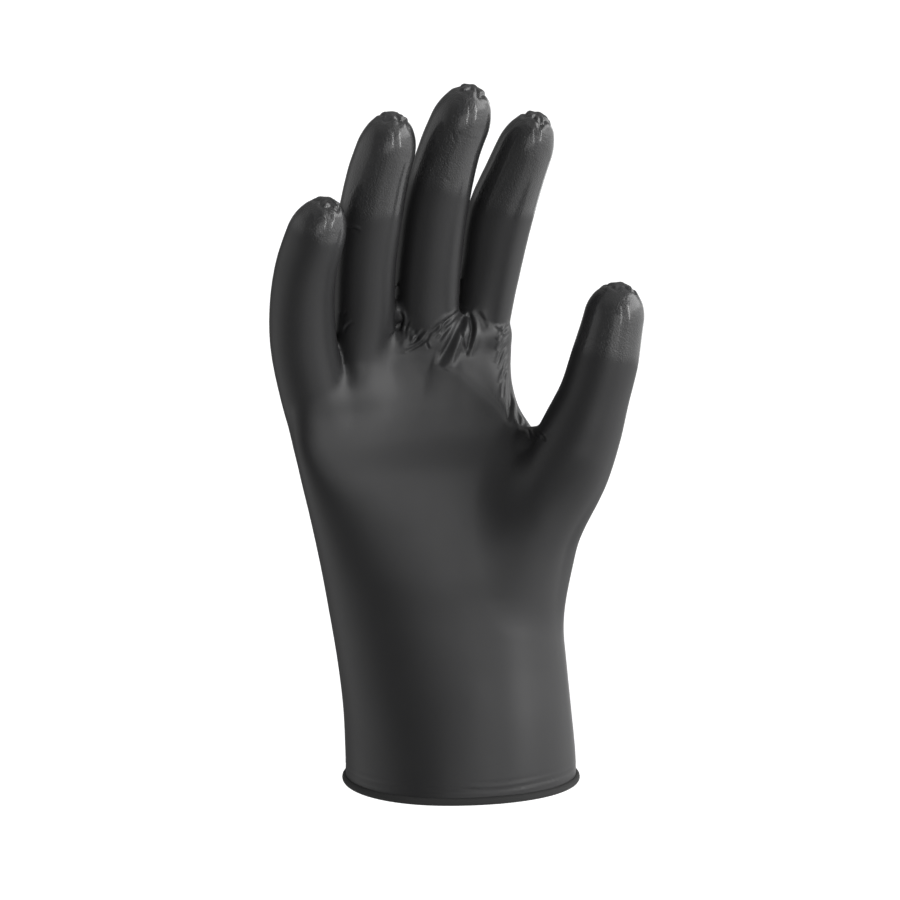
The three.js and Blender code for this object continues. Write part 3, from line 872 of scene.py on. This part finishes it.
def split_wall(hand, picture, points, normals, quads):
    """Splits quads near folds, at the cuff and on the tips once, and again close to folds and on the caps.
    The new points are moved onto the glove's face."""
    others = []
    for fold_reach, cap_reach, cuff_reach in SPLITS:
        centre = points[quads].mean(axis=1)
        chosen = fold_distance(picture, centre) < fold_reach
        chosen &= normals[quads[:, 0], 1] < SPLIT_BACK
        chosen |= (centre[:, 2] < cuff_reach) & (centre[:, 2] > OUTER_STEP * 2.0)
        for digit in hand.digits.values():
            pole, _, _, around = hand.tip_angles(digit, centre)
            chosen |= (pole < cap_reach) & (around < SPLIT_AROUND)
        old = len(points)
        points, quads, blocks = refined(points, quads, chosen)
        others.extend(blocks)
        added, lean = hand.settle(points[old:], 0.0)
        points = np.concatenate([points[:old], added])
        normals = np.concatenate([normals, lean])
    return points, normals, quads, others


def broad_height(picture, points, normals):
    """Height of the broad forms on the palm's side, in mm."""
    return fold_height(picture, points, normals, CRESTS)


def cuff_height(points, normals, floor):
    """Shallow level creases just above the rolled rim, on the side of the palm."""
    up = points[:, 2] - floor
    across = points[:, 0]
    fade = smooth_step(*CUFF["start"], up) * (1.0 - smooth_step(*CUFF["end"], up))
    bent = up + CUFF["wave"] * np.sin(across / CUFF["wave_length"]) + CUFF["climb"] * across
    creases = np.sin(2.0 * np.pi * bent / CUFF["spacing"])
    return CUFF["height"] * creases * fade * smooth_step(*CUFF["facing"], -normals[:, 1])


def tip_finish(hand, digit, points, seed):
    """The puckered cap's height in mm and the share of the grainy finish on one digit. From the pole outwards
    the cap has a small nub, gathers that run outwards and a crease round them."""
    pole, round_axis, at, around = hand.tip_angles(digit, points)
    own = around < OWN_AROUND
    wavy = 1.0 + 0.16 * np.sin(5.0 * round_axis + seed) + 0.10 * np.sin(3.0 * round_axis + 2.0 * seed)
    ring = CAP["ring"] * wavy
    gathers = np.sin(CAP["gathers"] * round_axis + 1.4 * np.sin(2.0 * round_axis + seed))
    height = CAP["nub_height"] * np.exp(-(pole / CAP["nub"]) ** 2)
    gathered = np.exp(-((pole - CAP["gather_place"] * ring) / CAP["gather_width"]) ** 2)
    height = height + CAP["gather_height"] * gathers * gathered
    height = height - CAP["ring_depth"] * np.exp(-((pole - ring) / CAP["ring_width"]) ** 2)
    uneven = ripples(points, CAP["uneven_length"], seed) * (1.0 - smooth_step(*CAP["uneven_end"], pole))
    height = height + CAP["uneven_height"] * uneven
    edge = at + GRAIN_EDGE["wave"] * ripples(points, GRAIN_EDGE["wave_length"], seed + 9)
    soft = GRAIN_EDGE["softness"]
    grain = smooth_step(digit.grain - soft, digit.grain + soft, edge)
    return np.where(own, height, 0.0), np.where(own, grain, 0.0)


def set_mesh(mesh, points, faces):
    """Fills a mesh from points in mm and a list of arrays of faces, each with its own count of corners."""
    sizes = np.concatenate([np.full(len(block), block.shape[1]) for block in faces])
    corners = np.concatenate([block.ravel() for block in faces])
    mesh.vertices.add(len(points))
    mesh.vertices.foreach_set("co", (points * MM).astype(np.float32).ravel())
    mesh.loops.add(len(corners))
    mesh.loops.foreach_set("vertex_index", corners.astype(np.int32))
    mesh.polygons.add(len(sizes))
    starts = np.concatenate([[0], np.cumsum(sizes)[:-1]])
    mesh.polygons.foreach_set("loop_start", starts.astype(np.int32))
    mesh.polygons.foreach_set("use_smooth", np.full(len(sizes), True))
    mesh.update(calc_edges=True)
    mesh.validate()


def new_piece(name, points, faces, material):
    """A mesh object at the origin that rides on the glove's one body."""
    mesh = bpy.data.meshes.new(name)
    set_mesh(mesh, points, faces)
    mesh.materials.append(material)
    piece = bpy.data.objects.new(name, mesh)
    bpy.context.scene.collection.objects.link(piece)
    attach(piece, "root")
    return piece


def zipped(outer, inner, points):
    """Triangles between two loops of edges round the Z axis, merged by the angle of their points."""
    def ordered(edges):
        start = points[edges[:, 0]]
        angle = np.arctan2(start[:, 1], start[:, 0])
        order = np.argsort(angle)
        return edges[order, 0], angle[order]

    out_index, out_angle = ordered(outer)
    in_index, in_angle = ordered(inner)
    angles = np.concatenate([out_angle, in_angle])
    is_outer = np.concatenate([np.ones(len(out_angle), bool), np.zeros(len(in_angle), bool)])
    order = np.argsort(angles, kind="stable")
    is_outer = is_outer[order]
    passed_out = np.cumsum(is_outer)
    passed_in = np.cumsum(~is_outer)
    last_out = out_index[(passed_out - 1) % len(out_index)]
    last_in = in_index[(passed_in - 1) % len(in_index)]
    before_out = out_index[(passed_out - 2) % len(out_index)]
    before_in = in_index[(passed_in - 2) % len(in_index)]
    on_outer = np.stack([before_out, last_in, last_out], axis=1)
    on_inner = np.stack([last_out, before_in, last_in], axis=1)
    return np.where(is_outer[:, None], on_outer, on_inner)


class Wire:
    """A shader socket that adds Math nodes when Python's operators are used on it."""

    def __init__(self, shader, socket):
        self.shader = shader
        self.socket = socket

    def _with(self, operation, *values):
        return self.shader.node("ShaderNodeMath", {"operation": operation}, {
            index: value for index, value in enumerate(values)
        })

    def __add__(self, other):
        return self._with("ADD", self, other)

    __radd__ = __add__

    def __sub__(self, other):
        return self._with("SUBTRACT", self, other)

    def __rsub__(self, other):
        return self._with("SUBTRACT", other, self)

    def __mul__(self, other):
        return self._with("MULTIPLY", self, other)

    __rmul__ = __mul__


class Shader:
    """The node tree of a new material or world, filled one node at a time."""

    def __init__(self, owner):
        owner.use_nodes = True
        self.owner = owner
        self.tree = owner.node_tree
        self.tree.nodes.clear()

    def node(self, kind, settings=None, sockets=None, output=0):
        """Adds a node: its settings first, then the values or links of its inputs. Gives one output."""
        made = self.tree.nodes.new(kind)
        for key, value in (settings or {}).items():
            setattr(made, key, value)
        for key, value in (sockets or {}).items():
            if isinstance(value, Wire):
                self.tree.links.new(value.socket, made.inputs[key])
            else:
                made.inputs[key].default_value = value
        return Wire(self, made.outputs[output]) if len(made.outputs) else None

    def rise(self, value, low, high):
        """0 up to low, 1 from high and a smooth rise between them. A high under low makes it a fall."""
        if low > high:
            return 1.0 - self.rise(value, high, low)
        return self.node("ShaderNodeMapRange", {"interpolation_type": "SMOOTHSTEP"}, {
            "Value": value, "From Min": low, "From Max": high,
        })


def nitrile_material(settings):
    """Near-black nitrile: satin on the hand, and finely grained with a glossier face on the fingertips."""
    shader = Shader(bpy.data.materials.new("nitrile"))
    place = shader.node("ShaderNodeTexCoord", output="Object")
    tip = shader.node("ShaderNodeAttribute", {"attribute_name": "grain"}, output="Fac")
    fine = shader.node("ShaderNodeTexNoise", {"noise_dimensions": "3D"}, {
        "Vector": place, "Scale": GRAIN_SCALE, "Detail": 1.5, "Roughness": 0.6,
    })
    soft = shader.node("ShaderNodeTexNoise", {"noise_dimensions": "3D"}, {
        "Vector": place, "Scale": SATIN_SCALE, "Detail": 3.0, "Roughness": 0.55,
    })
    height = fine * tip + soft * SATIN_HEIGHT
    bump = shader.node("ShaderNodeBump", sockets={
        "Strength": 1.0, "Distance": settings.grain_height, "Height": height,
    })
    surface = shader.node("ShaderNodeBsdfPrincipled", sockets={
        "Base Color": (*settings.colour, 1.0),
        "Roughness": settings.roughness - TIP_SMOOTHER * tip + SATIN_SPREAD * (soft - 0.5),
        "Specular IOR Level": 0.5,
        "Coat Weight": TIP_COAT * tip,
        "Coat Roughness": 0.14,
        "Normal": bump,
    })
    shader.node("ShaderNodeOutputMaterial", sockets={"Surface": surface})
    return shader.owner


class GloveSettings(bpy.types.PropertyGroup):
    width: bpy.props.FloatProperty(
        name="Width", description="Across the palm and thumb", default=cad_high.x - cad_low.x,
        min=0.05, max=0.3, unit="LENGTH",
    )
    depth: bpy.props.FloatProperty(
        name="Depth", description="From the foremost fingertip to the back of the cuff",
        default=cad_high.y - cad_low.y, min=0.03, max=0.2, unit="LENGTH",
    )
    height: bpy.props.FloatProperty(
        name="Height", description="From the rim to the tip of the middle finger",
        default=cad_high.z - cad_low.z, min=0.1, max=0.5, unit="LENGTH",
    )
    film: bpy.props.FloatProperty(
        name="Film", description="Thickness of the film", default=0.001, min=0.0003, max=0.003,
        unit="LENGTH",
    )
    rim: bpy.props.FloatProperty(
        name="Rim", description="Diameter of the rolled rim", default=0.0026, min=0.001, max=0.006,
        unit="LENGTH",
    )
    colour: bpy.props.FloatVectorProperty(
        name="Colour", description="Colour of the nitrile", subtype="COLOR", size=3,
        default=(0.021, 0.021, 0.022), min=0.0, max=1.0,
    )
    roughness: bpy.props.FloatProperty(
        name="Roughness", description="Roughness of the satin face", default=0.42, min=0.0, max=1.0,
        subtype="FACTOR",
    )
    grain_height: bpy.props.FloatProperty(
        name="Grain", description="Height of the fingertips' grain", default=0.00030, min=0.0, max=0.001,
        unit="LENGTH",
    )


class StudioSettings(bpy.types.PropertyGroup):
    floor_drop: bpy.props.FloatProperty(
        name="Floor drop", description="Distance from the rim down to the floor", default=0.06, min=0.0,
        max=1.0, unit="LENGTH",
    )
    room_light: bpy.props.FloatProperty(
        name="Room light", description="Strength of the even light from all sides", default=0.15, min=0.0,
        max=2.0,
    )
    backdrop: bpy.props.FloatVectorProperty(
        name="Backdrop", description="Colour behind the glove", subtype="COLOR", size=3,
        default=(0.95, 0.95, 0.95), min=0.0, max=1.0,
    )
    pitch: bpy.props.FloatProperty(
        name="Pitch", description="Angle at which the camera looks down", default=math.radians(9.5),
        min=0.0, max=1.5, subtype="ANGLE",
    )
    distance: bpy.props.FloatProperty(
        name="Distance", description="From the camera to the middle of the glove", default=1.0, min=0.2,
        max=5.0, unit="LENGTH",
    )


class GLOVE_OT_film(bpy.types.Operator):
    """Builds the glove's film with its outer and inner wall"""

    bl_idname = "glove.film"
    bl_label = "Film"

    def execute(self, context):
        settings = context.scene.glove
        hand = Hand(settings)
        picture = Picture(context.scene.studio)
        floor = settings.rim / MM / 2.0
        film = settings.film / MM
        outer, normals, quads = film_wall(hand, 0.0, OUTER_STEP, floor)
        rim = open_edge(quads)
        outer, normals, quads, others = split_wall(hand, picture, outer, normals, quads)
        inner, inward, inner_quads = film_wall(hand, -film, INNER_STEP, floor)
        outer = outer + broad_height(picture, outer, normals)[:, None] * normals
        inner = inner + broad_height(picture, inner, inward)[:, None] * inward
        fine = fold_height(picture, outer, normals, FOLDS)
        fine = fine + cuff_height(outer, normals, floor)
        grain = np.zeros(len(outer))
        for seed, digit in enumerate(hand.digits.values()):
            height, rough = tip_finish(hand, digit, outer, seed)
            fine = fine + height
            grain = np.maximum(grain, rough)
        outer = outer + fine[:, None] * normals
        points = np.concatenate([outer, inner])
        inner_quads = inner_quads[:, ::-1] + len(outer)
        strip = zipped(rim, open_edge(inner_quads), points)
        material = nitrile_material(settings)
        piece = new_piece("glove_skin", points, [quads, *others, inner_quads, strip], material)
        values = np.concatenate([grain, np.zeros(len(inner))]).astype(np.float32)
        layer = piece.data.attributes.new("grain", "FLOAT", "POINT")
        layer.data.foreach_set("value", values)
        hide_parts(FILM_NODE)
        return {"FINISHED"}


class GLOVE_OT_rim(bpy.types.Operator):
    """Builds the rolled rim at the mouth of the cuff"""

    bl_idname = "glove.rim"
    bl_label = "Rolled rim"

    def execute(self, context):
        settings = context.scene.glove
        hand = Hand(settings)
        radius = settings.rim / MM / 2.0
        around = RIM_STEPS
        sides = RIM_SIDES
        table = hand.sleeve
        angle = np.linspace(0.0, 2.0 * np.pi, around, endpoint=False)
        power = 2.0 / table("heel", radius)
        half = (table("right", radius) - table("left", radius)) / 2.0
        share = signed_power(np.cos(angle), power)
        lean = np.where(np.sin(angle) < 0.0, table("crown", radius), 0.0)
        x = (lean + share * np.where(share < 0.0, 1.0 + lean, 1.0 - lean)) * half
        y = signed_power(np.sin(angle), power) * table("front", radius)
        path = np.stack([x, y], axis=1)
        along = np.roll(path, -1, axis=0) - np.roll(path, 1, axis=0)
        along = along / np.linalg.norm(along, axis=1)[:, None]
        out = np.stack([along[:, 1], -along[:, 0]], axis=1)
        turn = np.linspace(0.0, 2.0 * np.pi, sides, endpoint=False)
        flat = path[:, None, :] + out[:, None, :] * radius * np.cos(turn)[None, :, None]
        up = np.broadcast_to(radius + radius * np.sin(turn), (around, sides))
        points = np.concatenate([flat, up[:, :, None]], axis=2).reshape(-1, 3)
        i, j = np.meshgrid(np.arange(around), np.arange(sides), indexing="ij")
        a = i * sides + j
        b = i * sides + (j + 1) % sides
        c = ((i + 1) % around) * sides + (j + 1) % sides
        d = ((i + 1) % around) * sides + j
        quads = np.stack([a, b, c, d], axis=-1).reshape(-1, 4)[:, ::-1]
        new_piece("rolled_rim", points, [quads], bpy.data.materials["nitrile"])
        return {"FINISHED"}


def softbox(name, wide, tall, radiance, place, aim):
    """A one-sided rectangular light that faces aim. Its power is radiance * pi * area, so a bigger box of the
    same radiance looks as bright in a reflection."""
    light = bpy.data.lights.new(name, "AREA")
    light.shape = "RECTANGLE"
    light.size = wide
    light.size_y = tall
    light.energy = radiance * math.pi * wide * tall
    box = bpy.data.objects.new(name, light)
    box.location = place
    ahead = Vector(aim) - Vector(place)
    box.rotation_euler = ahead.to_track_quat("-Z", "Y").to_euler()
    box.visible_camera = False
    bpy.context.scene.collection.objects.link(box)
    return box


def studio_world(studio):
    """White where the camera looks past the floor. For the glove it is a dim even room, with the soft lights
    of LIGHTS added."""
    shader = Shader(bpy.data.worlds.new("studio"))
    way = shader.node("ShaderNodeTexCoord", output="Generated")
    parts = shader.node("ShaderNodeSeparateXYZ", sockets={"Vector": way})
    axes = {"across": parts, "up": Wire(shader, parts.socket.node.outputs["Z"])}
    axes["beside"] = axes["across"]
    axes["under"] = axes["up"]
    light = studio.room_light
    for spread in LIGHTS.values():
        share = spread["strength"]
        for name, axis in axes.items():
            if name in spread:
                share = share * shader.rise(axis, *spread[name])
        light = light + share
    room = shader.node("ShaderNodeBackground", sockets={"Color": (1.0, 1.0, 1.0, 1.0), "Strength": light})
    seen = shader.node("ShaderNodeBackground", sockets={"Color": (*studio.backdrop, 1.0)})
    path = shader.node("ShaderNodeLightPath", output="Is Camera Ray")
    mix = shader.node("ShaderNodeMixShader", sockets={"Fac": path, 1: room, 2: seen})
    shader.node("ShaderNodeOutputWorld", sockets={"Surface": mix})
    return shader.owner


class GLOVE_OT_stage(bpy.types.Operator):
    """Builds the floor, the lights and the camera"""

    bl_idname = "glove.stage"
    bl_label = "Studio"

    def execute(self, context):
        scene = context.scene
        studio = scene.studio
        shader = Shader(bpy.data.materials.new("pale_floor"))
        surface = shader.node("ShaderNodeBsdfPrincipled", sockets={
            "Base Color": (0.5, 0.5, 0.5, 1.0), "Roughness": 1.0, "Specular IOR Level": 0.0,
            "Emission Color": (*studio.backdrop, 1.0), "Emission Strength": 0.88,
        })
        shader.node("ShaderNodeOutputMaterial", sockets={"Surface": surface})
        half = FLOOR_HALF
        z = -studio.floor_drop
        mesh = bpy.data.meshes.new("floor")
        mesh.from_pydata(
            [(-half, -half, z), (half, -half, z), (half, half, z), (-half, half, z)], [], [(0, 1, 2, 3)],
        )
        mesh.materials.append(shader.owner)
        floor = bpy.data.objects.new("floor", mesh)
        floor.visible_glossy = False
        floor.visible_diffuse = False
        scene.collection.objects.link(floor)
        scene.world = studio_world(studio)
        scene.view_settings.view_transform = "Standard"
        for name, strip in STRIPS.items():
            softbox(name, aim=STRIP_AIM, **strip)
        camera = bpy.data.cameras.new("camera")
        camera.lens = CAMERA["lens"]
        camera.sensor_width = CAMERA["sensor"]
        camera.clip_end = CAMERA["sight"]
        eye = bpy.data.objects.new("camera", camera)
        scene.collection.objects.link(eye)
        aim = Vector(CAMERA["aim"]) * MM
        ahead = Vector((0.0, math.cos(studio.pitch), -math.sin(studio.pitch)))
        eye.location = aim - ahead * studio.distance
        eye.rotation_euler = (math.pi / 2.0 - studio.pitch, 0.0, 0.0)
        scene.camera = eye
        return {"FINISHED"}


class GLOVE_PT_panel(bpy.types.Panel):
    bl_idname = "GLOVE_PT_panel"
    bl_label = "Exam glove"
    bl_space_type = "VIEW_3D"
    bl_region_type = "UI"
    bl_category = "Glove"

    def draw(self, context):
        for settings in (context.scene.glove, context.scene.studio):
            for name in settings.__annotations__:
                self.layout.prop(settings, name)
        for operator in OPERATORS:
            self.layout.operator(operator.bl_idname)


OPERATORS = (GLOVE_OT_film, GLOVE_OT_rim, GLOVE_OT_stage)
CLASSES = (GloveSettings, StudioSettings, *OPERATORS, GLOVE_PT_panel)


def register():
    for item in CLASSES:
        bpy.utils.register_class(item)
    bpy.types.Scene.glove = bpy.props.PointerProperty(type=GloveSettings)
    bpy.types.Scene.studio = bpy.props.PointerProperty(type=StudioSettings)


def unregister():
    del bpy.types.Scene.studio
    del bpy.types.Scene.glove
    for item in reversed(CLASSES):
        bpy.utils.unregister_class(item)


def main():
    register()
    bpy.ops.glove.film()
    bpy.ops.glove.rim()
    bpy.ops.glove.stage()


if __name__ == "__main__":
    main()
